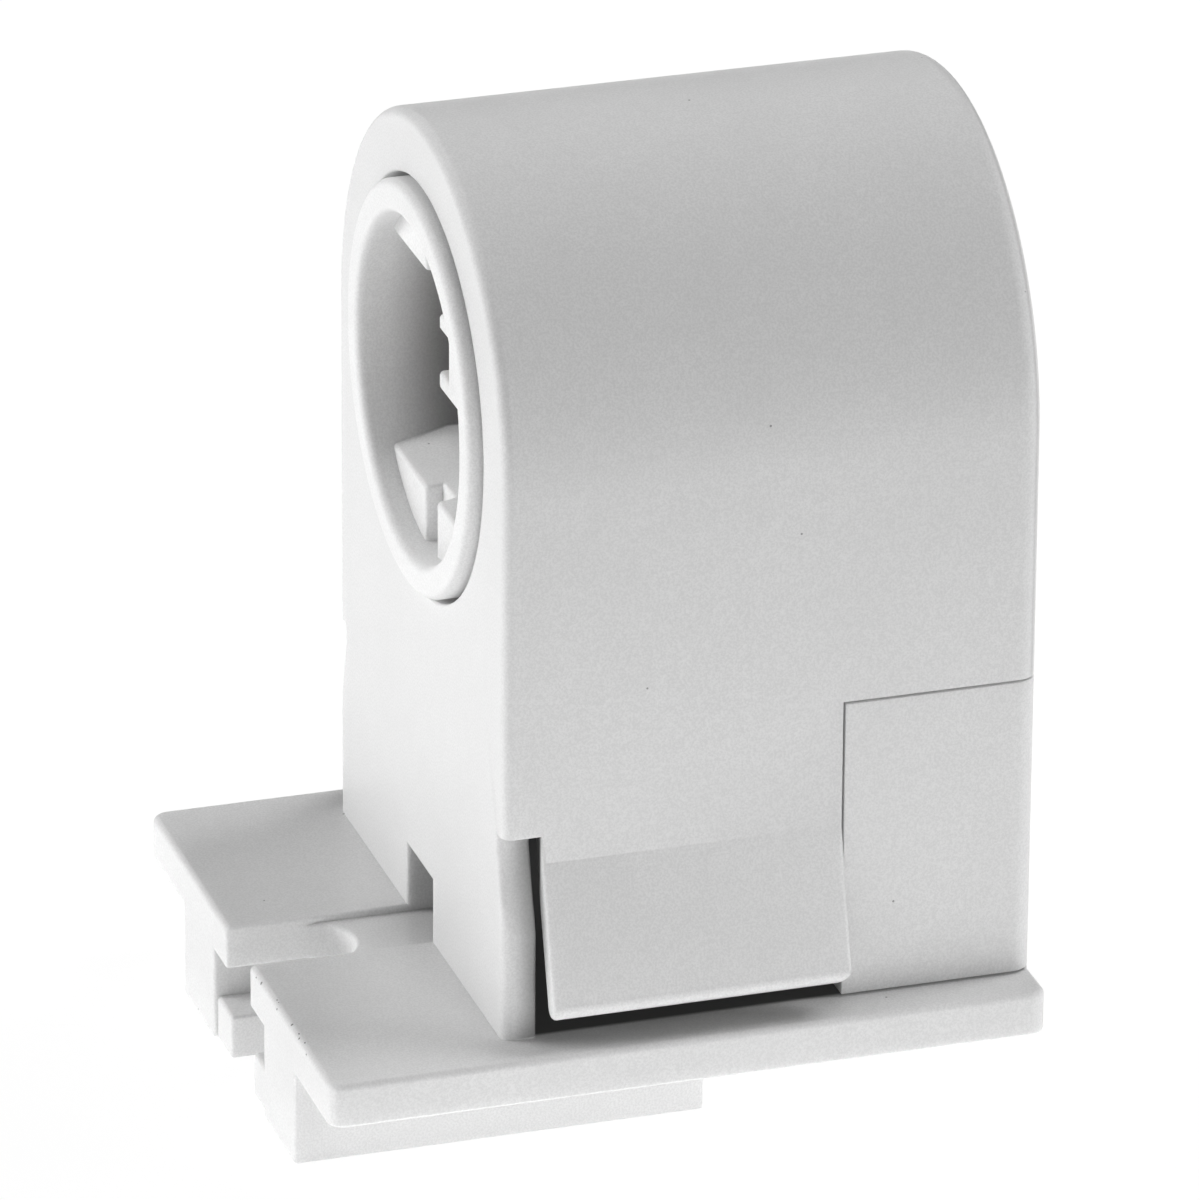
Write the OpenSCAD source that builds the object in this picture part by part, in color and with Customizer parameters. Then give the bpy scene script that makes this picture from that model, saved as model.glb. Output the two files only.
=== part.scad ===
// Spring plunger lamp holder for a tube lamp with recessed double contacts.
// X runs across the holder, -Y is the face that the lamp sits against, +Z is up.
// The origin is the middle of the foot's outline, at the bottom of the rails.

/* [Housing] */
// Width of the body, which is also twice the radius of its arch
body_w = 32.6; // [31:0.1:40]
// Depth of the body from its face to its back
body_d = 31.7; // [31:0.1:40]
// Height of the body above the foot plate
body_h = 49.4; // [48:0.1:60]
// Thickness of the side walls and the arch
wall_t = 1.6; // [1.2:0.1:2]
// Thickness of the face wall
face_t = 2; // [1.4:0.1:2.4]
// Rounding of the face's outer edge
face_edge_r = 0.7; // [0.3:0.1:1]
// Rounding of the back's outer edge
back_edge_r = 1.2; // [0.5:0.1:1.4]

/* [Foot] */
// Width of the foot plate
plate_w = 38.1; // [36:0.1:46]
// Thickness of the foot plate
plate_t = 2.65; // [2:0.05:4]
// How far the foot plate reaches out in front of the face
foot_reach = 10.9; // [10:0.1:16]
// Radius of the foot plate's corners seen from above
plate_corner_r = 1; // [0.6:0.1:2]
// Rounding of the foot plate's top edge
plate_edge_r = 0.4; // [0.2:0.1:0.5]
// Width of the screw slot, of the channel behind it and of the notch
slot_w = 5; // [4.6:0.1:6]
// Length of the screw slot from the front edge to its round end
slot_l = 7; // [6.6:0.1:9]
// Depth of the shallow channel from the slot to the notch
channel_depth = 0.4; // [0.2:0.1:1]
// Height of the notch in the foot of the face wall
notch_h = 3.8; // [3:0.1:6]

/* [Rails] */
// Height of the rails under the foot plate
rail_h = 5.7; // [5:0.1:8]
// Length of the rails from the front edge
rail_l = 24.4; // [20:0.1:30]
// Distance between the outer faces of the two rails
rail_span = 23.4; // [22:0.1:28]
// Width of the open channel between the two webs
rail_channel_w = 10.5; // [9:0.1:12]
// Width of the gap between the two feet
rail_gap_w = 4.7; // [4.6:0.1:6]
// Thickness of the inward feet
rail_foot_t = 2.65; // [2:0.05:3]
// How far the ends of the feet sit behind the ends of the webs
rail_foot_inset = 0.25; // [0.1:0.05:0.5]

/* [Side latches] */
// Height above the foot plate at which the side wall turns into the latch
latch_top = 12.5; // [11:0.1:14]
// Height above the foot plate at which the latch starts to flare
latch_crease = 10.8; // [9:0.1:10.9]
// Height of the free lower edge above the foot plate
latch_bottom = 1.9; // [1:0.1:3]
// How far the free lower edge stands out from the body side
latch_flare = 2.4; // [0.5:0.1:2.6]
// Thickness of the latch
latch_t = 1.4; // [1:0.1:1.5]
// Width of the open cut between the face wall and the latch
latch_cut = 0.3; // [0.2:0.1:1.2]
// Depth of the relief in the side of the face wall beside the latch
relief_depth = 1.3; // [0.6:0.1:1.5]
// Height above the foot plate at which that relief runs out
relief_end = 6.5; // [4:0.1:9]
// Size of the cut-off lower rear corner of the latch
latch_corner = 0.6; // [0.3:0.1:1]

/* [Rear cover] */
// Depth of the cover's cheeks measured from the back
cheek_d = 11.7; // [10.5:0.1:12.5]
// Height of the cheeks above the foot plate
cheek_h = 18.45; // [17:0.1:20]
// Thickness of the cover's back plate
cover_t = 1.6; // [1.2:0.1:2]
// Clear seam round the cover
seam = 0.15; // [0.1:0.05:0.25]
// Diameter of the two wire entries
wire_hole_d = 3; // [2.6:0.1:3.2]
// Height of the wire entries above the foot plate
wire_hole_h = 8; // [7:0.1:9.5]
// Length of the collar behind each wire entry
wire_collar_l = 2; // [1:0.1:3]

/* [Plunger] */
// How far the plunger's axis lies above the middle of the arch
axis_rise = 0.35; // [0:0.05:0.6]
// Thickness of the barrel's wall
barrel_wall_t = 1.95; // [1.6:0.05:2.3]
// How far the rim stands out of the face at rest
rim_out = 0.8; // [0.4:0.1:2]
// Radial gap between the barrel and the hole in the face
barrel_gap = 0.3; // [0.2:0.05:0.4]
// How far the stop flange reaches past the edge of that hole
flange_out = 0.5; // [0.3:0.1:0.8]
// Rounding of the rim
rim_r = 0.5; // [0.2:0.1:0.8]
// Depth of the socket from the face to the barrel's back wall
socket_depth = 10.2; // [9.5:0.1:11]
// Thickness of the barrel's back wall
back_wall_t = 2; // [1.5:0.1:2.5]
// Length of the skirt behind the back wall
skirt_l = 2.2; // [2:0.1:3]
// How far the plunger travels into the body
plunger_travel = 8; // [5:0.5:9]

/* [Socket] */
// Height of the lamp opening between the level parts of the two shelves
throat_h = 11.95; // [11.5:0.05:12.5]
// How much wider the opening is at its mouth, on each side
mouth_flare = 0.6; // [0.3:0.05:0.8]
// Depth over which the mouth narrows
mouth_depth = 3.3; // [2:0.1:4]
// Rounding of the shelves' front edges
shelf_edge_r = 0.3; // [0.2:0.1:0.8]
// How far the shelves sit behind the rim
shelf_inset = 1.5; // [1:0.1:2]
// Width of the key slot in each shelf
key_slot_w = 2.1; // [1.5:0.1:3]
// Depth of the key slot
key_slot_depth = 1; // [0.6:0.1:2]

/* [Contact tongue] */
// Width of the tongue that carries the two contacts
tongue_w = 10; // [9:0.1:12.5]
// Height of the tongue
tongue_h = 4.65; // [4.2:0.05:4.7]
// Rounding of the tongue's long edges
tongue_edge_r = 0.35; // [0.2:0.05:0.8]
// How far the tongue's tip sits behind the rim
tongue_inset = 3.45; // [3:0.05:4.5]
// Height of the groove in each end of the tongue
groove_h = 2.6; // [2.2:0.1:3]
// Depth of the groove in each end of the tongue
groove_depth = 1.8; // [1.5:0.1:2.2]
// Thickness of the contact strips
contact_t = 0.4; // [0.3:0.05:0.5]
// Clearance beside each contact strip
contact_clear = 0.15; // [0.1:0.05:0.2]
// How far the contacts bow out of the groove's floor
contact_bow = 0.8; // [0.4:0.1:1]
// Length of that bow
contact_bow_l = 4.4; // [3:0.1:5]
// How far the contacts' free ends sit behind the tongue's tip
contact_inset = 0.8; // [0.4:0.1:1.2]

/* [Spring] */
// Gap between the return spring and the barrel's wall
spring_room = 2.55; // [2:0.05:3.5]
// Diameter of the spring wire
spring_wire = 0.9; // [0.7:0.1:1]
// Number of turns of the spring
spring_turns = 6; // [5:1:7]

/* [Terminals] */
// Thickness of the terminal strips
terminal_t = 0.5; // [0.4:0.05:0.6]
// Height of the wiping part of each terminal strip
terminal_wipe_h = 7; // [5:0.5:8]
// Height of the wire clamps
clamp_h = 6; // [4:0.5:7]
// Thickness of the wire clamps
clamp_t = 0.35; // [0.3:0.05:0.4]

/* [Hidden] */
$fn = 96;

// Heights
plate_z = rail_h;
deck_z = rail_h + plate_t;
arch_z = deck_z + body_h - body_w / 2;
axis_z = arch_z + axis_rise;

// Places along the depth
plate_l = body_d + foot_reach;
front_y = -plate_l / 2;
back_y = plate_l / 2;
face_y = front_y + foot_reach;
inside_y = face_y + face_t;
cover_y = back_y - cover_t;
cheek_y = back_y - cheek_d;

// Thin walls and running gaps, from the body's side inwards
tab_t = 0.65;
tab_clear = 0.25;
wiper_gap = 0.05;
wiper_sink = 0.1;
sleeve_t = 1.3;
flange_t = 1.5;

// Radii about the plunger's axis and places beside it, each worked out from the one outside it
arch_r = body_w / 2;
cavity_r = arch_r - wall_t;
tab_x = cavity_r - seam - tab_t;
terminal_x = tab_x - tab_clear - terminal_t;
wiper_x = terminal_x - wiper_gap - contact_t;
flange_r = wiper_x + wiper_sink;
hole_r = flange_r - flange_out;
sleeve_r = hole_r + sleeve_t;
barrel_r = hole_r - barrel_gap;
bore_r = barrel_r - barrel_wall_t;
spring_r = bore_r - spring_room;

// The plunger's own stations along the depth
stop_gap = 0.05;
retainer_inset = 0.4;
rim_y = face_y - rim_out;
shelf_y = rim_y + shelf_inset;
tip_y = rim_y + tongue_inset;
back_wall_y = face_y + socket_depth;
back_wall_end_y = back_wall_y + back_wall_t;
skirt_y = back_wall_end_y + skirt_l;
flange_y = back_wall_end_y - flange_t;
sleeve_y = flange_y - stop_gap;
retainer_t = skirt_l - retainer_inset;
retainer_y = back_wall_end_y + retainer_t;

// Play of the contact retainer in the skirt, and of a contact in its recess
leaf_fit = 0.05;

// Posts on the retainer and the cover that meet at the end of the travel, inside the spring,
// and the ring on the cover round the spring's end
spring_clear = 0.3;
stop_clear = 0.3;
post_wall = 1.2;
post_r = spring_r - spring_wire - spring_clear;
post_l = (cover_y - retainer_y - plunger_travel - stop_clear) / 2;
seat_wall = 1;
seat_l = 2;

// Contacts
groove_x = tongue_w / 2 - groove_depth;
contact_h = groove_h - 2 * contact_clear;
wiper_l = 4;

// Terminals and what holds them
terminal_front_gap = 1;
terminal_back_gap = 3;
terminal_y = sleeve_y + terminal_front_gap;
terminal_end_y = cover_y - terminal_back_gap;
leg_l = 8;
leg_foot = 2.8;
leg_clip_t = 0.8;
pad_h = 2;
pad_inset = 0.5;

// Wire entries and clamps
wire_side_gap = 0.3;
wire_collar_wall = 0.8;
wire_hole_x = terminal_x - wire_hole_d / 2 - wire_side_gap;
clamp_reach = 3.6;
clamp_x = wire_hole_x - clamp_reach;
clamp_lead = 5;
clamp_y = cheek_y - clamp_lead;
clamp_l = 8.5;
clamp_bend = 0.9;
clamp_start = 0.3;
clamp_free_end = 2.5;
clamp_rib_t = 1;

// How far joined shapes run into each other, and how far cuts run past a face
lap = 0.2;
over = 1;

// Keys that stop the plunger turning, low on both sides, and their keyways
key_angle = 50;
key_w = 2.6;
key_out = 0.4;
keyway_clear = 0.3;

// Height and place of the cover's tabs that tuck in behind the side latches
tab_reach = 2.5;
tab_low = 3.5;
tab_h = 6.5;

// Step at the top of the relief beside a latch
relief_step = 1;

// Ribs that carry the guide sleeve, just inside the wire clamps
rib_t = 1;
rib_clear = 0.25;

// Extrudes an outline drawn across X and Z along the depth
module along_y(y0, y1) {
    translate([0, y1, 0])
        rotate([90, 0, 0])
            linear_extrude(y1 - y0)
                children();
}

// Turns an outline drawn as radius and depth round a level axis, by default the plunger's
module round_axis(z = axis_z) {
    translate([0, 0, z])
        rotate([-90, 0, 0])
            rotate_extrude()
                children();
}

// A box given by two opposite corners
module box(low, high) {
    translate(low)
        cube(high - low);
}

// A ring or disc about the plunger's axis, from one depth to another
module ring(r_in, r_out, y0, y1) {
    round_axis()
        translate([r_in, y0])
            square([r_out - r_in, y1 - y0]);
}

// Half of a plan outline whose two outer corners are rounded
module rounded_half(half_w, y0, y1, r_front, r_back) {
    translate([0, y0 + r_front])
        square([half_w, y1 - y0 - r_front - r_back]);
    translate([0, y0])
        square([half_w - r_front, r_front]);
    translate([0, y1 - r_back])
        square([half_w - r_back, r_back]);
    translate([half_w - r_front, y0 + r_front])
        circle(r_front);
    translate([half_w - r_back, y1 - r_back])
        circle(r_back);
}

// An upright block with an arched top, rounded at its face and back edges
module arch_block(half_w, y0, y1, z0, r_front, r_back) {
    intersection() {
        round_axis(arch_z)
            rounded_half(half_w, y0, y1, r_front, r_back);
        box([-half_w - over, y0 - over, arch_z], [half_w + over, y1 + over, arch_z + half_w + over]);
    }
    translate([0, 0, z0])
        linear_extrude(arch_z - z0)
            for (side = [0, 1])
                mirror([side, 0])
                    rounded_half(half_w, y0, y1, r_front, r_back);
}

// The plain cavity under the arch, open at one end or both
module arch_cut(half_w, y0, y1, z0) {
    along_y(y0, y1) {
        translate([0, arch_z])
            circle(half_w);
        translate([-half_w, z0])
            square([2 * half_w, arch_z - z0]);
    }
}

// A strip bent at the given points, drawn from above and raised to its height
module bent_strip(points, t, z0, h) {
    translate([0, 0, z0])
        linear_extrude(h)
            for (i = [0 : len(points) - 2]) {
                run = points[i + 1] - points[i];
                translate(points[i])
                    rotate(atan2(run[1], run[0]))
                        translate([0, -t / 2])
                            square([norm(run), t]);
                translate(points[i])
                    circle(t / 2, $fn = 24);
                translate(points[i + 1])
                    circle(t / 2, $fn = 24);
            }
}

// The same thing on both sides of the middle plane
module both_sides() {
    for (side = [0, 1])
        mirror([side, 0, 0])
            children();
}

// Foot plate with rounded corners and a rounded top edge
module foot_plate() {
    half_w = plate_w / 2;
    corner_x = half_w - plate_corner_r;
    corner_y = plate_l / 2 - plate_corner_r;
    low_h = plate_t - plate_edge_r;
    translate([0, 0, plate_z]) {
        box([-corner_x, front_y, 0], [corner_x, back_y, low_h]);
        box([-half_w, -corner_y, 0], [half_w, corner_y, low_h]);
        box([-corner_x, front_y + plate_edge_r, 0], [corner_x, back_y - plate_edge_r, plate_t]);
        box([-half_w + plate_edge_r, -corner_y, 0], [half_w - plate_edge_r, corner_y, plate_t]);
        for (sx = [-1, 1])
            for (sy = [-1, 1])
                translate([sx * corner_x, sy * corner_y, 0])
                    rotate_extrude()
                        plate_edge_profile(plate_corner_r);
        for (sy = [-1, 1])
            translate([-corner_x, sy * (plate_l / 2 - plate_edge_r), low_h])
                rotate([0, 90, 0])
                    cylinder(r = plate_edge_r, h = 2 * corner_x);
        for (sx = [-1, 1])
            translate([sx * (half_w - plate_edge_r), corner_y, low_h])
                rotate([90, 0, 0])
                    cylinder(r = plate_edge_r, h = 2 * corner_y);
    }
}

// Section through a corner of the foot plate
module plate_edge_profile(r) {
    square([r, plate_t - plate_edge_r]);
    square([r - plate_edge_r, plate_t]);
    translate([r - plate_edge_r, plate_t - plate_edge_r])
        intersection() {
            circle(plate_edge_r);
            square(plate_edge_r);
        }
}

// One slide rail: an upright web with a foot that turns inwards
module rail() {
    web_x = rail_channel_w / 2;
    box([web_x, front_y, 0], [rail_span / 2, front_y + rail_l, plate_z + lap]);
    box([rail_gap_w / 2, front_y + rail_foot_inset, 0],
        [web_x + lap, front_y + rail_l - rail_foot_inset, rail_foot_t]);
}

// The open screw slot, the shallow channel and the notch in the face wall
module screw_way() {
    slot_end_y = front_y + slot_l - slot_w / 2;
    box([-slot_w / 2, front_y - over, plate_z - over], [slot_w / 2, slot_end_y, deck_z + over]);
    translate([0, slot_end_y, plate_z - over])
        cylinder(d = slot_w, h = plate_t + 2 * over);
    box([-slot_w / 2, front_y - over, deck_z - channel_depth],
        [slot_w / 2, inside_y + over, deck_z + notch_h]);
}

// Section of one side latch: straight at the top, then flared, with a round lower edge
module latch_section() {
    tip_x = arch_r + latch_flare - latch_t / 2;
    tip_z = deck_z + latch_bottom + latch_t / 2;
    crease_z = deck_z + latch_crease;
    top_z = deck_z + latch_top + over;
    polygon([[arch_r - latch_t, top_z], [arch_r, top_z], [arch_r, crease_z],
             [tip_x + latch_t / 2, tip_z], [tip_x - latch_t / 2, tip_z],
             [arch_r - latch_t, crease_z]]);
    translate([tip_x, tip_z])
        circle(latch_t / 2, $fn = 32);
}

// One side latch, with its lower rear corner cut off
module latch() {
    corner = latch_corner * sqrt(2);
    difference() {
        along_y(inside_y + latch_cut, cheek_y)
            latch_section();
        translate([arch_r, cheek_y, deck_z + latch_bottom])
            rotate([45, 0, 0])
                cube([4 * latch_t, corner, corner], center = true);
    }
}

// What is cut out of the side of the face wall beside a latch
module relief_section() {
    inner = arch_r - relief_depth;
    polygon([[arch_r + over, deck_z + latch_top], [inner, deck_z + latch_top],
             [inner, deck_z + latch_top - relief_step], [arch_r, deck_z + relief_end],
             [arch_r + over, deck_z + relief_end]]);
}

// Sleeve that guides the barrel, and the ribs that carry it
module guide_sleeve() {
    rib_x = clamp_x - clamp_t / 2 - rib_clear - rib_t;
    rib_top = axis_z - sqrt(pow(hole_r + lap, 2) - pow(rib_x, 2));
    ring(hole_r, sleeve_r, inside_y - lap, sleeve_y);
    both_sides()
        box([rib_x, inside_y - lap, deck_z - lap], [rib_x + rib_t, sleeve_y, rib_top]);
}

module housing() {
    color("white")
        difference() {
            union() {
                difference() {
                    arch_block(arch_r, face_y, back_y, deck_z - lap, face_edge_r, back_edge_r);
                    arch_cut(cavity_r, inside_y, back_y + over, deck_z);
                    both_sides() {
                        box([cavity_r - lap, cheek_y, deck_z],
                            [arch_r + over, back_y + over, deck_z + cheek_h]);
                        box([cavity_r - lap, inside_y, deck_z],
                            [arch_r + over, cheek_y + lap, deck_z + latch_top]);
                        along_y(face_y - over, inside_y + lap)
                            relief_section();
                    }
                }
                both_sides()
                    latch();
                foot_plate();
                both_sides()
                    rail();
                guide_sleeve();
                terminal_seats();
            }
            ring(0, hole_r, face_y - over, sleeve_y + over);
            both_sides()
                key_run(hole_r + key_out + keyway_clear, key_w + 2 * keyway_clear,
                        inside_y, sleeve_y + over);
            screw_way();
        }
}

// A straight run along the depth at a key's place, out to a radius
module key_run(r_out, w, y0, y1) {
    translate([0, 0, axis_z])
        rotate([0, key_angle, 0])
            box([hole_r / 2, y0, -w / 2], [r_out, y1, w / 2]);
}

// Pads, seats and ribs inside the housing that carry the terminals and clamps
module terminal_seats() {
    pad_x = terminal_x + terminal_t;
    pad_z = terminal_wipe_h / 2 - pad_inset;
    both_sides() {
        for (low_z = [axis_z - pad_z, axis_z + pad_z - pad_h])
            box([pad_x, terminal_y, low_z], [cavity_r + lap, terminal_end_y, low_z + pad_h]);
        box([terminal_x - leg_clip_t, terminal_y, deck_z - lap],
            [cavity_r - seam, terminal_y + leg_l, deck_z + leg_foot]);
        box([terminal_x - leg_clip_t, terminal_y, deck_z - lap],
            [terminal_x, terminal_y + pad_h, deck_z + leg_foot + pad_h]);
        box([clamp_x - clamp_t / 2 - clamp_rib_t, clamp_y, deck_z - lap],
            [clamp_x - clamp_t / 2, clamp_y + clamp_l, deck_z + wire_hole_h + clamp_h / 2]);
    }
}

module rear_cover() {
    half_w = arch_r;
    color("whitesmoke")
        difference() {
            union() {
                intersection() {
                    linear_extrude(deck_z + cheek_h - seam)
                        for (side = [0, 1])
                            mirror([side, 0])
                                rounded_half(half_w, cheek_y - over * 2, back_y, face_edge_r, back_edge_r);
                    difference() {
                        box([-half_w, cheek_y + seam, deck_z + seam],
                            [half_w, back_y, deck_z + cheek_h - seam]);
                        box([-cavity_r, cheek_y - over, deck_z],
                            [cavity_r, cover_y, deck_z + cheek_h + over]);
                    }
                }
                arch_cut(cavity_r - seam, cover_y, back_y, deck_z + seam);
                spring_seat();
                ring(post_r - post_wall, post_r, cover_y - post_l, cover_y + lap);
                both_sides() {
                    cover_tab();
                    translate([wire_hole_x, back_y - lap, deck_z + wire_hole_h])
                        rotate([90, 0, 0])
                            cylinder(d = wire_hole_d + 2 * wire_collar_wall,
                                     h = cover_t + wire_collar_l - lap);
                }
            }
            both_sides()
                translate([wire_hole_x, back_y + over, deck_z + wire_hole_h])
                    rotate([90, 0, 0])
                        cylinder(d = wire_hole_d, h = cover_t + wire_collar_l + 2 * over);
        }
}

// Ring on the inside of the cover that centres the spring
module spring_seat() {
    seat_r = spring_r + spring_clear;
    ring(seat_r, seat_r + seat_wall, cover_y - seat_l, cover_y + lap);
}

// Tab on each cheek that tucks in behind the side latch
module cover_tab() {
    low_z = deck_z + tab_low;
    high_z = low_z + tab_h;
    box([tab_x, cheek_y - tab_reach, low_z], [cavity_r - seam, cheek_y + tab_reach, high_z]);
    box([tab_x, cheek_y + seam + lap, low_z], [cavity_r + lap, cheek_y + tab_reach, high_z]);
}

// Section of the barrel's wall, with its rounded rim and its stop flange
module barrel_wall() {
    translate([bore_r, rim_y + rim_r])
        square([barrel_r - bore_r, skirt_y - rim_y - rim_r]);
    translate([bore_r + rim_r, rim_y])
        square([barrel_r - bore_r - 2 * rim_r, rim_r]);
    translate([bore_r + rim_r, rim_y + rim_r])
        circle(rim_r);
    translate([barrel_r - rim_r, rim_y + rim_r])
        circle(rim_r);
    translate([bore_r, flange_y])
        square([flange_r - bore_r, flange_t]);
}

// Section of the lower shelf along the depth: a softened front edge, a lead-in slope, then level
module shelf_section() {
    throat = throat_h / 2;
    mouth = throat + mouth_flare;
    edge_y = shelf_y + shelf_edge_r;
    polygon([[shelf_y, -barrel_r], [shelf_y, -mouth - shelf_edge_r], [edge_y, -mouth],
             [shelf_y + mouth_depth, -throat], [back_wall_y + lap, -throat],
             [back_wall_y + lap, -barrel_r]]);
    translate([edge_y, -mouth - shelf_edge_r])
        intersection() {
            circle(shelf_edge_r, $fn = 48);
            translate([-shelf_edge_r, 0])
                square(shelf_edge_r);
        }
}

// The two shelves that give the socket its flat-sided opening, each with a key slot
module shelves() {
    difference() {
        intersection() {
            ring(0, bore_r + lap, shelf_y, back_wall_y + lap);
            for (flip = [0, 1])
                translate([0, 0, axis_z])
                    mirror([0, 0, flip])
                        translate([-barrel_r, 0, 0])
                            rotate([90, 0, 90])
                                linear_extrude(2 * barrel_r)
                                    shelf_section();
        }
        box([-key_slot_w / 2, shelf_y - over, axis_z - barrel_r],
            [key_slot_w / 2, shelf_y + key_slot_depth, axis_z + barrel_r]);
    }
}

// Tongue across the socket, with a groove for a contact in each end
module tongue() {
    half_w = tongue_w / 2;
    half_h = tongue_h / 2;
    edge_x = half_w - tongue_edge_r;
    edge_z = half_h - tongue_edge_r;
    difference() {
        along_y(tip_y, back_wall_y + lap)
            translate([0, axis_z]) {
                square([2 * edge_x, tongue_h], center = true);
                square([tongue_w, 2 * edge_z], center = true);
                for (sx = [-1, 1])
                    for (sz = [-1, 1])
                        translate([sx * edge_x, sz * edge_z])
                            circle(tongue_edge_r, $fn = 32);
            }
        both_sides()
            box([groove_x, tip_y - over, axis_z - groove_h / 2],
                [half_w + over, back_wall_y, axis_z + groove_h / 2]);
    }
}

module barrel() {
    color("white")
        difference() {
            union() {
                round_axis()
                    barrel_wall();
                ring(0, bore_r + lap, back_wall_y, back_wall_end_y);
                shelves();
                tongue();
                both_sides()
                    difference() {
                        key_run(hole_r + key_out, key_w, inside_y + over, flange_y + lap);
                        ring(0, bore_r + lap, inside_y, flange_y + over);
                    }
            }
            both_sides() {
                // way for a contact through the back wall
                box([groove_x, back_wall_y - over, axis_z - groove_h / 2],
                    [groove_x + contact_t + contact_clear, back_wall_end_y + over, axis_z + groove_h / 2]);
                // way for a contact out through the skirt
                box([bore_r - 1, back_wall_end_y, axis_z - groove_h / 2],
                    [flange_r + over, skirt_y + over, axis_z + groove_h / 2]);
            }
        }
}

module contact_retainer() {
    color("gainsboro")
        difference() {
            union() {
                ring(0, bore_r - leaf_fit, back_wall_end_y, retainer_y);
                ring(post_r - post_wall, post_r, retainer_y - lap, retainer_y + post_l);
            }
            both_sides()
                box([groove_x - contact_clear, back_wall_end_y - over, axis_z - groove_h / 2],
                    [bore_r + over, back_wall_end_y + contact_t + leaf_fit, axis_z + groove_h / 2]);
        }
}

// One contact: a bowed leaf in the tongue, a run across the back and a wiper
module contact() {
    leaf_x = groove_x + contact_t / 2;
    run_y = back_wall_end_y + contact_t / 2;
    wipe_x = wiper_x + contact_t / 2;
    end_y = tip_y + contact_inset;
    bent_strip([[leaf_x, end_y], [leaf_x + contact_bow, end_y + contact_bow_l / 2],
                [leaf_x, end_y + contact_bow_l], [leaf_x, run_y], [wipe_x, run_y],
                [wipe_x, run_y + wiper_l]],
               contact_t, axis_z - contact_h / 2, contact_h);
}

module contact_left() {
    color("darkgoldenrod")
        mirror([1, 0, 0])
            contact();
}

module contact_right() {
    color("darkgoldenrod")
        contact();
}

// Centre line of the spring as a function of the share of its length, with closed end turns
spring_steps = 28;
spring_sides = 8;
end_turns = 0.72;
function spring_rise(s) =
    let(dead = end_turns / spring_turns)
    min(1, max(0, (s - dead) / (1 - 2 * dead)));
function spring_point(s, a) =
    let(turn = 360 * spring_turns * s,
        wire_r = spring_wire / 2,
        r = spring_r - wire_r + wire_r * cos(a),
        low = retainer_y + wire_r,
        high = cover_y - wire_r)
    [r * cos(turn), low + (high - low) * spring_rise(s) + wire_r * sin(a), axis_z + r * sin(turn)];

module plunger_spring() {
    count = spring_steps * spring_turns;
    points = [for (i = [0 : count]) for (k = [0 : spring_sides - 1])
              spring_point(i / count, 360 * k / spring_sides)];
    sides = [for (i = [0 : count - 1]) for (k = [0 : spring_sides - 1])
             let(a = i * spring_sides + k,
                 b = i * spring_sides + (k + 1) % spring_sides)
             [a, b, b + spring_sides, a + spring_sides]];
    start = [for (k = [spring_sides - 1 : -1 : 0]) k];
    end = [for (k = [0 : spring_sides - 1]) count * spring_sides + k];
    color("silver")
        polyhedron(points = points, faces = concat(sides, [start, end]));
}

// One terminal: a strip beside the plunger with a leg down to the wire entry
module terminal() {
    wipe_z = axis_z - terminal_wipe_h / 2;
    box([terminal_x, terminal_y, wipe_z],
        [terminal_x + terminal_t, terminal_end_y, wipe_z + terminal_wipe_h]);
    box([terminal_x, terminal_y, deck_z + leg_foot],
        [terminal_x + terminal_t, terminal_y + leg_l, wipe_z + lap]);
}

module terminal_left() {
    color("goldenrod")
        mirror([1, 0, 0])
            terminal();
}

module terminal_right() {
    color("goldenrod")
        terminal();
}

// One push-in clamp: a leaf doubled back towards its terminal
module wire_clamp() {
    end_y = clamp_y + clamp_l;
    bent_strip([[clamp_x, clamp_y + clamp_start], [clamp_x, end_y - clamp_bend],
                [clamp_x + clamp_bend, end_y], [clamp_x + 2 * clamp_bend, end_y - clamp_bend / 2],
                [terminal_x - clamp_t / 2 - wire_side_gap, clamp_y + clamp_free_end]],
               clamp_t, deck_z + wire_hole_h - clamp_h / 2, clamp_h);
}

module wire_clamp_left() {
    color("lightsteelblue")
        mirror([1, 0, 0])
            wire_clamp();
}

module wire_clamp_right() {
    color("lightsteelblue")
        wire_clamp();
}

housing();
rear_cover();
barrel();
contact_retainer();
contact_left();
contact_right();
plunger_spring();
terminal_left();
terminal_right();
wire_clamp_left();
wire_clamp_right();
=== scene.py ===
# %% [markdown]
# # A white plunger lamp holder
# This notebook dresses the imported model of a lamp holder for a fluorescent tube. The model already has every
# piece at its real size, in metres, so the work here is finish: soft edges, moulded plastic, metal, light and a
# camera. The first cell loads the model and lays every piece out in world coordinates.

# %% Load the frame
import math

import bmesh
import bpy
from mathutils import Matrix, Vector
from mathutils.bvhtree import BVHTree


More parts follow.
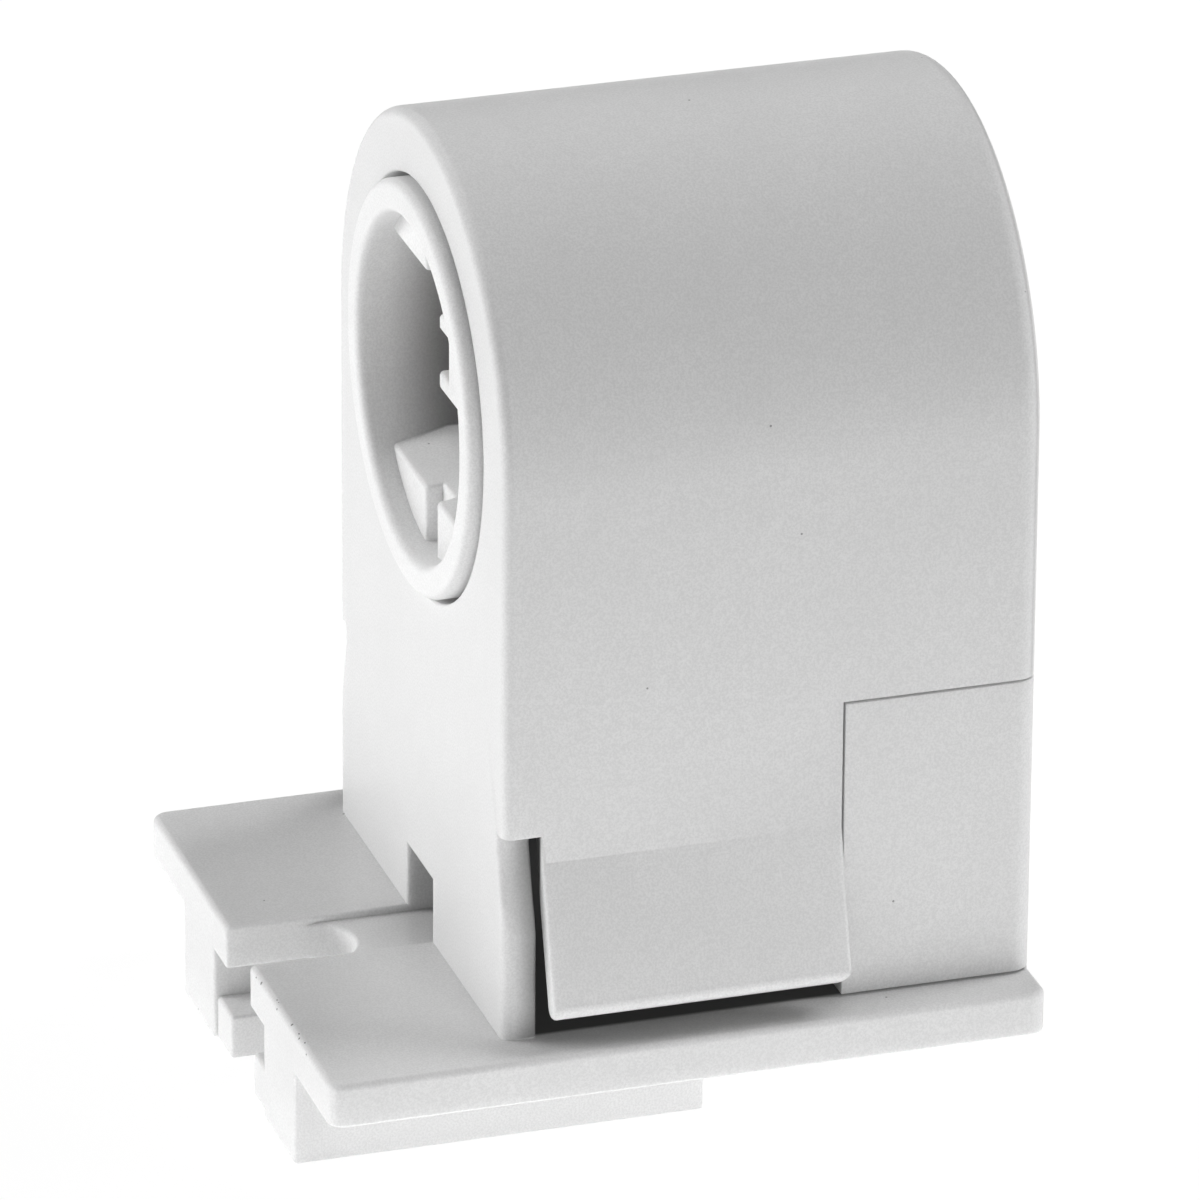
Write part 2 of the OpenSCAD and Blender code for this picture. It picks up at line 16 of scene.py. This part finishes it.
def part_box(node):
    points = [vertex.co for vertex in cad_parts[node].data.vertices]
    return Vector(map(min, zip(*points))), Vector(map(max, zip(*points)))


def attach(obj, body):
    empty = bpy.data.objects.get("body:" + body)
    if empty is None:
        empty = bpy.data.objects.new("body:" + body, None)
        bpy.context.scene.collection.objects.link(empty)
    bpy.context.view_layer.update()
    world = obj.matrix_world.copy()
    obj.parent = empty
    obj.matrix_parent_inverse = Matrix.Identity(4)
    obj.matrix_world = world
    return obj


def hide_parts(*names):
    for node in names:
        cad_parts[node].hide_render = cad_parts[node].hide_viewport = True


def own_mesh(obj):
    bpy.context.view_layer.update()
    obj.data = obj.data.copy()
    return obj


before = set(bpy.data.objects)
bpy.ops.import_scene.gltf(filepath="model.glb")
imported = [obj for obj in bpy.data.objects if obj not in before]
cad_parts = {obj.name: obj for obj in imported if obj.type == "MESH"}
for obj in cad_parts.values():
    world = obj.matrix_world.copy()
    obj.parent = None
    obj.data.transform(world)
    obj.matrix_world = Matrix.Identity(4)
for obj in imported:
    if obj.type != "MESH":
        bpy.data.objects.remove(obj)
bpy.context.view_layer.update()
scene = bpy.context.scene
MM = 0.001
print("nodes:", sorted(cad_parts))

# %% [markdown]
# Places on the holder are named once, from the boxes of its nodes and a few sizes of its mouldings. The foot plate
# ends at `deck_z`, the face that the lamp sits against is at `face_y`, and the plunger slides along `axis_z`,
# a little above the arch's centre at `arch_z`.

# %% Landmarks
housing_low, housing_high = (Vector(corner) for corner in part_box("housing"))
cover_low, cover_high = (Vector(corner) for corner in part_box("rear_cover"))
barrel_low, barrel_high = (Vector(corner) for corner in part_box("barrel"))
SEAM = 0.15 * MM
RIM_OUT = 0.8 * MM
FACE_WALL = 2 * MM
CHEEK_DEPTH = 11.7 * MM
PLATE_THICKNESS = 2.65 * MM
LATCH_HEIGHT = 12.5 * MM
CREASE_HEIGHT = 10.8 * MM
SLOT_WIDTH = 5 * MM
HOLE_RADIUS = 12.3 * MM
BORE_RADIUS = 10.05 * MM
deck_z = cover_low.z - SEAM
plate_z = deck_z - PLATE_THICKNESS
axis_z = (barrel_low.z + barrel_high.z) / 2
face_y = barrel_low.y + RIM_OUT
side_x = cover_high.x
arch_z = housing_high.z - side_x
seam_y = housing_high.y - CHEEK_DEPTH
latch_z = deck_z + LATCH_HEIGHT
crease_z = deck_z + CREASE_HEIGHT
print("deck", round(deck_z / MM, 2), "axis", round(axis_z / MM, 2), "face", round(face_y / MM, 2))

# %% [markdown]
# ## Where the camera stands
# The holder is seen from its right side, a little from the front and from above, through a long lens. A long lens
# keeps edges that run into the depth nearly parallel, which is how small products are usually photographed. The
# camera stands at a given point, turned by two angles and rolled slightly.

# %% Camera
CAMERA_PLACE = Vector((551.8, -175.5, 285.3)) * MM
CAMERA_YAW = 72.32
CAMERA_PITCH = -24.01
CAMERA_ROLL = 0.375
SENSOR_MM = 36
LENS_MM = 332.35


def camera_axes(yaw, pitch, roll):
    """Right, up and backward directions of a camera turned by three angles in degrees."""
    a, e, r = (math.radians(angle) for angle in (yaw, pitch, roll))
    forward = Vector((-math.sin(a) * math.cos(e), math.cos(a) * math.cos(e), math.sin(e)))
    level = forward.cross(Vector((0, 0, 1))).normalized()
    upright = level.cross(forward)
    right = level * math.cos(r) + upright * math.sin(r)
    up = upright * math.cos(r) - level * math.sin(r)
    return right, up, -forward


def add_camera():
    camera = bpy.data.objects.new("camera", bpy.data.cameras.new("camera"))
    scene.collection.objects.link(camera)
    camera.data.sensor_width = SENSOR_MM
    camera.data.lens = LENS_MM
    camera.data.clip_start = 0.01
    camera.data.clip_end = 20
    right, up, back = camera_axes(CAMERA_YAW, CAMERA_PITCH, CAMERA_ROLL)
    for row in range(3):
        camera.matrix_world[row][0] = right[row]
        camera.matrix_world[row][1] = up[row]
        camera.matrix_world[row][2] = back[row]
        camera.matrix_world[row][3] = CAMERA_PLACE[row]
    scene.camera = camera
    return camera


camera = add_camera()
print("camera at", [round(v, 4) for v in camera.matrix_world.translation])

# %% [markdown]
# ## Writing shader maths as plain sums
# A material is a graph of nodes. Drawing that graph in code line by line is hard to read, so a small class stands
# for one output socket, and adding or multiplying two of them adds the Math node that does it. Any other node
# comes from one method that takes the node's type, its settings and the values or links of its inputs.


# %% Shader helper
class Signal:
    """One output socket of a node, on which sums can be written."""

    def __init__(self, graph, socket):
        self.graph = graph
        self.socket = socket

    def maths(self, operation, first, second=0.0):
        return self.graph.node("ShaderNodeMath", {"operation": operation}, {0: first, 1: second})

    def __add__(self, other):
        return self.maths("ADD", self, other)

    def __sub__(self, other):
        return self.maths("SUBTRACT", self, other)

    def __rsub__(self, other):
        return self.maths("SUBTRACT", other, self)

    def __mul__(self, other):
        return self.maths("MULTIPLY", self, other)

    def __gt__(self, other):
        return self.maths("GREATER_THAN", self, other)

    def __lt__(self, other):
        return self.maths("LESS_THAN", self, other)

    __radd__ = __add__
    __rmul__ = __mul__


class Graph:
    """The node graph of one material or world."""

    def __init__(self, owner):
        owner.use_nodes = True
        self.tree = owner.node_tree
        self.tree.nodes.clear()

    def node(self, kind, settings=None, values=None, output=0):
        made = self.tree.nodes.new(kind)
        for name, value in (settings or {}).items():
            setattr(made, name, value)
        for name, value in (values or {}).items():
            if isinstance(value, Signal):
                self.tree.links.new(value.socket, made.inputs[name])
            else:
                made.inputs[name].default_value = value
        return Signal(self, made.outputs[output]) if made.outputs else made

    def ramp(self, value, low, high):
        """0 below low, 1 above high, and a smooth step between them."""
        settings = {"interpolation_type": "SMOOTHSTEP"}
        return self.node("ShaderNodeMapRange", settings, {0: value, 1: low, 2: high})

    def mix_colour(self, share, first, second):
        made = self.node("ShaderNodeMix", {"data_type": "RGBA"}, output=2)
        inputs = made.socket.node.inputs
        for index, value in ((0, share), (6, first), (7, second)):
            if isinstance(value, Signal):
                self.tree.links.new(value.socket, inputs[index])
            else:
                inputs[index].default_value = value
        return made


def parts_of(graph, place):
    """The three coordinates of a place as signals."""
    split = graph.node("ShaderNodeSeparateXYZ", values={0: place})
    outputs = split.socket.node.outputs
    return [Signal(graph, outputs[axis]) for axis in range(3)]


def grey(level):
    return (level, level, level, 1)


print("shader helper ready")

# %% [markdown]
# ## A white ground and soft light
# The holder stands on a plain pale floor. The photograph's ground is pure white, which a lit floor never quite
# reaches, so where the camera looks straight at it, the floor mixes its own lit colour with white. The shadow
# stays, only paler. Light that the holder mirrors comes from the floor's lit colour alone.

# %% Floor and world
FLOOR_SIZE = 6
FLOOR_COLOUR = 0.82
FLOOR_WHITE_SHARE = 0.86
WHITE_LEVEL = 1.08
SKY_LIGHT = 0.10


def camera_ray(graph):
    """1 for rays that come straight from the camera."""
    return graph.node("ShaderNodeLightPath")


def add_floor():
    bpy.ops.object.select_all(action="DESELECT")
    bpy.ops.mesh.primitive_grid_add(x_subdivisions=4, y_subdivisions=4, size=FLOOR_SIZE)
    floor = bpy.context.object
    floor.name = "floor"
    material = bpy.data.materials.new("pale_floor")
    graph = Graph(material)
    lit = graph.node("ShaderNodeBsdfDiffuse", values={"Color": grey(FLOOR_COLOUR)})
    white = graph.node("ShaderNodeEmission", values={"Color": grey(1), "Strength": WHITE_LEVEL})
    share = camera_ray(graph) * FLOOR_WHITE_SHARE
    mixed = graph.node("ShaderNodeMixShader", values={0: share, 1: lit, 2: white})
    graph.node("ShaderNodeOutputMaterial", values={"Surface": mixed})
    floor.data.materials.append(material)
    return floor


def light_world():
    world = bpy.data.worlds.new("white_room")
    scene.world = world
    graph = Graph(world)
    strength = SKY_LIGHT + camera_ray(graph) * (1 - SKY_LIGHT)
    background = graph.node("ShaderNodeBackground", values={"Color": grey(1), "Strength": strength})
    graph.node("ShaderNodeOutputWorld", values={"Surface": background})


floor = add_floor()
light_world()
print("floor", FLOOR_SIZE, "m wide, sky", SKY_LIGHT)

# %% [markdown]
# Each lamp is an area light, because a wide lamp gives the long soft shading that glossy plastic needs. A lamp is
# given by where it stands, what it looks at, how large it is and its power. The lowest one lies on the ground and
# shines up, like the light table on which small white goods are photographed, and takes the weight out of shadows.

# %% Lamps
AIM = Vector((0, 0.002, 0.030))
UPWARD = Vector((0, 0, 1))


def add_lamp(name, place, size, power, aim=AIM):
    data = bpy.data.lights.new(name, "AREA")
    data.shape = "DISK"
    data.size = size
    data.energy = power
    lamp = bpy.data.objects.new(name, data)
    scene.collection.objects.link(lamp)
    lamp.location = place
    lamp.rotation_euler = (aim - Vector(place)).to_track_quat("-Z", "Y").to_euler()
    lamp.visible_camera = False
    lamp.visible_glossy = False
    return lamp


table_place = Vector((0, 0, 0.00002))
add_lamp("table_lamp", table_place, 0.20, 0.083, aim=table_place + UPWARD)
add_lamp("front_low_lamp", (-0.40, -0.80, 0.12), 0.5, 2.2)
add_lamp("front_high_lamp", (-0.40, -0.80, 0.45), 0.5, 5.3)
add_lamp("back_lamp", (0.00, 0.70, 0.85), 0.6, 6.2)
add_lamp("side_low_lamp", (0.90, 0.10, 0.12), 0.5, 0.75)
add_lamp("side_high_lamp", (0.80, 0.10, 0.50), 0.5, 1.05)

# %% [markdown]
# ## Softer edges
# A mould has no knife edges: each one is rounded a little, and that line of light is what makes plastic look
# like plastic. A copy of each moulding gets its loose triangles joined, its flat faces made whole and its sharp
# edges bevelled. Only outward edges are softened, and each carries a weight that scales the bevel, so that the
# foot's broad edges are rounder than those of the shallow channel, and the seam round the cover stays crisp.

# %% Bevelled mouldings
SHARP_ANGLE = math.radians(30)
FLAT_ANGLE = math.radians(0.5)
JOIN_DISTANCE = 0.002 * MM
BEVEL_STEPS = 3
WIDEST = 0.5 * MM


def make_active(piece):
    bpy.ops.object.select_all(action="DESELECT")
    piece.select_set(True)
    bpy.context.view_layer.objects.active = piece


def copy_moulding(node_name):
    """A CAD node's mesh as a new object, with its triangles joined and its flat faces whole."""
    piece = bpy.data.objects.new(node_name + "_moulding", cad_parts[node_name].data.copy())
    scene.collection.objects.link(piece)
    make_active(piece)
    bpy.ops.object.mode_set(mode="EDIT")
    bpy.ops.mesh.customdata_custom_splitnormals_clear()
    bpy.ops.mesh.select_all(action="SELECT")
    bpy.ops.mesh.remove_doubles(threshold=JOIN_DISTANCE)
    bpy.ops.mesh.dissolve_limited(angle_limit=FLAT_ANGLE, delimit={"NORMAL"})
    bpy.ops.object.mode_set(mode="OBJECT")
    return piece


def weigh_edges(piece, width_at):
    """Give each sharp outward edge the bevel weight for the width wanted there, and keep the latches' crease."""
    shape = bmesh.new()
    shape.from_mesh(piece.data)
    weight = shape.edges.layers.float.new("bevel_weight_edge")
    for edge in shape.edges:
        middle = (edge.verts[0].co + edge.verts[1].co) / 2
        if edge.is_manifold and edge.is_convex and edge.calc_face_angle() > SHARP_ANGLE:
            edge[weight] = width_at(middle) / WIDEST
        elif abs(middle.z - crease_z) < 0.05 * MM and abs(middle.x) > side_x - 0.1 * MM:
            edge.smooth = False
    shape.to_mesh(piece.data)
    shape.free()


def apply_modifier(piece, kind, **settings):
    modifier = piece.modifiers.new(kind.lower(), kind)
    for name, value in settings.items():
        setattr(modifier, name, value)
    bpy.ops.object.modifier_apply(modifier=modifier.name)


def settle_corners(piece, node_name, reach):
    """Where very short edges met, a bevel throws a corner out: it goes back onto the moulding's surface."""
    source = bmesh.new()
    source.from_mesh(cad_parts[node_name].data)
    surface = BVHTree.FromBMesh(source)
    moved = 0
    for vertex in piece.data.vertices:
        nearest, _, _, distance = surface.find_nearest(vertex.co)
        if distance > reach:
            vertex.co = nearest
            moved += 1
    source.free()
    return moved


def split_hollow_faces(piece):
    """Cut each face that has an inward corner, so that none is filled across the screw slot."""
    bpy.ops.object.mode_set(mode="EDIT")
    bpy.ops.mesh.select_all(action="SELECT")
    bpy.ops.mesh.vert_connect_concave()
    bpy.ops.object.mode_set(mode="OBJECT")


def bevelled(node_name, width_at):
    piece = copy_moulding(node_name)
    weigh_edges(piece, width_at)
    apply_modifier(piece, "BEVEL", width=WIDEST, segments=BEVEL_STEPS, limit_method="WEIGHT",
                   use_clamp_overlap=False)
    split_hollow_faces(piece)
    moved = settle_corners(piece, node_name, WIDEST / 2)
    bpy.ops.object.shade_smooth_by_angle(angle=math.radians(35))
    apply_modifier(piece, "WEIGHTED_NORMAL", keep_sharp=True)
    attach(piece, "plunger" if node_name == "barrel" else "housing")
    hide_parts(node_name)
    print(piece.name, len(piece.data.polygons), "faces,", moved, "corners settled")
    return piece


def from_axis(place):
    """Distance of a place from the axis that the plunger slides along."""
    return math.hypot(place.x, place.z - axis_z)


def housing_width(place):
    """Bevel width of the housing's edges: none at the seams and inside, most on the foot and the latches."""
    near = 0.1 * MM
    if place.z > latch_z - near:
        at_hole = place.y < face_y + near and from_axis(place) < HOLE_RADIUS + near
        return 0.15 * MM if at_hole else 0
    if place.z < near:
        return 0.15 * MM
    in_slot = abs(place.x) < SLOT_WIDTH / 2 + near and place.z < deck_z + near
    if in_slot or abs(place.z - plate_z) < near:
        return 0.2 * MM
    if place.y > seam_y + near:
        return 0
    if place.y > face_y + FACE_WALL - near and abs(place.x) < side_x - FACE_WALL and place.z > deck_z - near:
        return 0
    return 0.26 * MM


def cover_width(place):
    return 0.06 * MM


def barrel_width(place):
    """Only the edges of the shelves, the key slots and the tongue are softened."""
    in_socket = from_axis(place) < HOLE_RADIUS - 2.6 * MM and place.y < face_y + 3.5 * MM
    return 0.25 * MM if in_socket else 0


housing = bevelled("housing", housing_width)
rear_cover = bevelled("rear_cover", cover_width)
barrel = bevelled("barrel", barrel_width)

# %% [markdown]
# ## A copy of the spring
# On the real holder the coil is squeezed between the cover and the plunger. Here a copy of the coil is hung on the
# housing in place of the node, and keeps its shape.


def shortening_spring():
    piece = bpy.data.objects.new("plunger_spring_coil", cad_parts["plunger_spring"].data.copy())
    scene.collection.objects.link(piece)
    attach(piece, "housing")
    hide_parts("plunger_spring")
    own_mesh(piece)
    return piece


spring_coil = shortening_spring()

# %% [markdown]
# ## Moulded white plastic
# Real moulded plastic is never one flat white. It has faint clouds where the melt flowed, a fine grain from the
# tool, and a few dark specks. Each of these is a noise or cell pattern on Object coordinates, so it stays fixed to
# the piece, and each is kept weak.

# %% Plastic material
SPECK_CELL = 3.2 * MM
SPECK_RADIUS = 0.07 * MM
SPECK_SHARE = 0.35
DUST_CELL = 0.7 * MM
DUST_RADIUS = 0.05 * MM
CLOUD_SIZE = 7 * MM
GRAIN_SIZE = 0.13 * MM
MOTTLE_SIZE = 0.9 * MM
GLOW_DEPTH = 0.7 * MM
CHIP_CELL = 0.5 * MM
CHIP_RADIUS = 0.1 * MM
CHIP_REACH = 0.2 * MM
# Painted shade: the near-black that shaded inner walls are painted.
PAINTED_SHADE_LEVEL = 0.03
# Painted glow: every plastic gives off a faint even light of its own, standing for light that comes through thin white
# walls, so that deep gaps are not black.
PAINTED_GLOW = 0.013


# Painted shade: the shell's inner walls are painted dark where the lamps would leave them pale.
def housing_painted_shade(graph, place):
    """Painted shade: 1 on the shell's inner walls, which hardly any light reaches through the narrow gaps, and 0.6 on
    the face wall's edge beside each latch's gap.
    """
    x, y, z = parts_of(graph, place)
    across = x.maths("ABSOLUTE", x)
    rise = x.maths("MAXIMUM", z - arch_z, 0.0)
    radius = x.maths("SQRT", across * across + rise * rise)
    behind_face = graph.ramp(y, face_y + FACE_WALL - 0.25 * MM, face_y + FACE_WALL)
    under_wall = 1 - graph.ramp(radius, side_x - 0.6 * MM, side_x - 0.15 * MM)
    # Painted shade on the edge of the face wall beside each latch's gap, darker towards the gap.
    painted_gap_shade = graph.ramp(y, face_y + 0.3 * MM, face_y + FACE_WALL + 0.1 * MM) * (y < face_y + FACE_WALL + 0.05 * MM)
    painted_gap_shade = painted_gap_shade * (across > side_x - 2 * MM) * (z < latch_z) * (z > deck_z + 0.1 * MM) * 0.6
    before_rim = 1 - graph.ramp(y, housing_high.y - 0.5 * MM, housing_high.y - 0.2 * MM)
    inside = behind_face * under_wall * before_rim
    return x.maths("MAXIMUM", inside, painted_gap_shade) * (z > deck_z - 0.01 * MM)


# Painted shade: the socket's round wall is painted darker the deeper it lies.
def bore_painted_shade(graph, place):
    """Painted shade that grows with depth on the socket's round wall, which hardly any light reaches; the shelves stay
    bright.
    """
    x, y, z = parts_of(graph, place)
    radius = x.maths("SQRT", x * x + (z - axis_z) * (z - axis_z))
    on_wall = graph.ramp(radius, BORE_RADIUS - 0.4 * MM, BORE_RADIUS - 0.1 * MM)
    return graph.ramp(y, face_y + 0.6 * MM, face_y + 5.5 * MM) * on_wall * 0.8


def specks(graph, place, cell_size, radius, chosen):
    """1 in small round specks, of which there is one in the chosen share of the cells."""
    cells = {"Vector": place, "Scale": 1 / cell_size, "Randomness": 1.0}
    near = graph.node("ShaderNodeTexVoronoi", values=cells)
    cell = graph.node("ShaderNodeTexVoronoi", values=cells, output=1)
    dice = graph.node("ShaderNodeSeparateColor", values={0: cell})
    return (near < radius / cell_size) * (dice < chosen)


def chips(graph, place):
    """Small dark chips along the front edge of the foot, on the right of the screw slot."""
    x, y, z = parts_of(graph, place)
    down = z - (deck_z - 0.10 * MM)
    back = y - (housing_low.y + 0.10 * MM)
    off_edge = x.maths("SQRT", down * down + back * back)
    knocks = specks(graph, place, CHIP_CELL, CHIP_RADIUS, 0.7)
    return knocks * (off_edge < CHIP_REACH) * (x > SLOT_WIDTH / 2)


def plastic(name, level, roughness, specked=True, glow=0.5, shade=None, worn=None):
    material = bpy.data.materials.new(name)
    graph = Graph(material)
    place = graph.node("ShaderNodeTexCoord", output=3)
    cloud = graph.node("ShaderNodeTexNoise", values={
        "Vector": place, "Scale": 1 / CLOUD_SIZE, "Detail": 4.0, "Roughness": 0.6})
    grain = graph.node("ShaderNodeTexNoise", values={
        "Vector": place, "Scale": 1 / GRAIN_SIZE, "Detail": 2.0, "Roughness": 0.7})
    mottle = graph.node("ShaderNodeTexNoise", values={
        "Vector": place, "Scale": 1 / MOTTLE_SIZE, "Detail": 3.0, "Roughness": 0.7})
    uneven = graph.ramp(cloud, 0.3, 0.7) * 0.5 + graph.ramp(mottle, 0.3, 0.7) * 0.5
    clouded = graph.mix_colour(uneven, grey(level * 0.97), grey(level * 1.02))
    grained = graph.mix_colour(graph.ramp(grain, 0.35, 0.65) * 0.6, clouded, grey(level * 0.82))
    colour = grained
    if specked:
        scattered = specks(graph, place, SPECK_CELL, SPECK_RADIUS, SPECK_SHARE)
        gathered = specks(graph, place, DUST_CELL, DUST_RADIUS, 0.5) * (cloud > 0.68)
        colour = graph.mix_colour(scattered.maths("MAXIMUM", scattered, gathered) * 0.7, grained, grey(0.12))
    if worn:
        colour = graph.mix_colour(worn(graph, place) * 0.85, colour, grey(0.08))
    # Painted shade: the shade mask turns the colour towards near-black where little light reaches.
    if shade:
        colour = graph.mix_colour(shade(graph, place), colour, grey(PAINTED_SHADE_LEVEL))
    bump = graph.node("ShaderNodeBump", values={
        "Height": grain, "Strength": 0.08, "Distance": 0.01 * MM})
    surface = graph.node("ShaderNodeBsdfPrincipled", values={
        "Base Color": colour,
        "Roughness": roughness + (graph.ramp(cloud, 0.2, 0.8) - 0.5) * 0.06,
        "IOR": 1.5,
        "Subsurface Weight": glow,
        "Subsurface Radius": (1.0, 1.0, 1.0),
        "Subsurface Scale": GLOW_DEPTH,
        # Painted glow: the plastic gives off faint light of its own.
        "Emission Color": grey(1),
        "Emission Strength": PAINTED_GLOW,
        "Normal": bump,
    })
    graph.node("ShaderNodeOutputMaterial", values={"Surface": surface})
    return material


white_plastic = plastic("white_plastic", 0.80, 0.33, shade=housing_painted_shade, worn=chips)
barrel_plastic = plastic("barrel_plastic", 0.865, 0.36, shade=bore_painted_shade)
cover_plastic = plastic("cover_plastic", 0.795, 0.36)
inner_plastic = plastic("inner_plastic", 0.62, 0.55, specked=False)
print("plastics ready")

# %% [markdown]
# ## Metal strip and spring wire
# The contacts and terminals are rolled strip and the spring is drawn wire, so both have fine lines along one
# direction and a thin dull film. Stretching a noise along one axis gives such lines.


# %% Metal material
def metal(name, colour, roughness, stretch):
    material = bpy.data.materials.new(name)
    graph = Graph(material)
    place = graph.node("ShaderNodeTexCoord", output=3)
    laid = graph.node("ShaderNodeMapping", values={"Vector": place, "Scale": stretch})
    lines = graph.node("ShaderNodeTexNoise", values={"Vector": laid, "Scale": 1500.0, "Detail": 3.0})
    film = graph.node("ShaderNodeTexNoise", values={"Vector": place, "Scale": 250.0, "Detail": 4.0})
    dull = tuple(channel * 0.72 for channel in colour) + (1,)
    tint = graph.mix_colour(graph.ramp(film, 0.45, 0.75) * 0.6, colour + (1,), dull)
    surface = graph.node("ShaderNodeBsdfPrincipled", values={
        "Base Color": tint,
        "Metallic": 1.0,
        "Roughness": roughness + lines * 0.12,
        "Normal": graph.node("ShaderNodeBump", values={
            "Height": lines, "Strength": 0.15, "Distance": 0.01 * MM}),
    })
    graph.node("ShaderNodeOutputMaterial", values={"Surface": surface})
    return material


bronze = metal("contact_bronze", (0.72, 0.47, 0.25), 0.30, (1, 0.05, 1))
brass = metal("terminal_brass", (0.78, 0.60, 0.28), 0.30, (1, 1, 0.05))
spring_steel = metal("spring_steel", (0.60, 0.61, 0.62), 0.30, (1, 1, 1))
clamp_steel = metal("clamp_steel", (0.56, 0.57, 0.59), 0.32, (1, 1, 0.05))

FINISHES = {
    "housing": white_plastic,
    "rear_cover": cover_plastic,
    "barrel": barrel_plastic,
    "contact_retainer": inner_plastic,
    "contact_left": bronze,
    "contact_right": bronze,
    "plunger_spring": spring_steel,
    "terminal_left": brass,
    "terminal_right": brass,
    "wire_clamp_left": clamp_steel,
    "wire_clamp_right": clamp_steel,
}
MOULDINGS = {"housing": housing, "rear_cover": rear_cover, "barrel": barrel, "plunger_spring": spring_coil}
for node_name, material in FINISHES.items():
    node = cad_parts[node_name]
    for shown in {node, MOULDINGS.get(node_name, node)}:
        for slot in shown.material_slots:
            slot.material = material
print("finished nodes:", len(FINISHES))

# %% [markdown]
# ## The last settings
# Colours are shown as they are, with no film look over them.

# %% Finish
scene.view_settings.view_transform = "Standard"
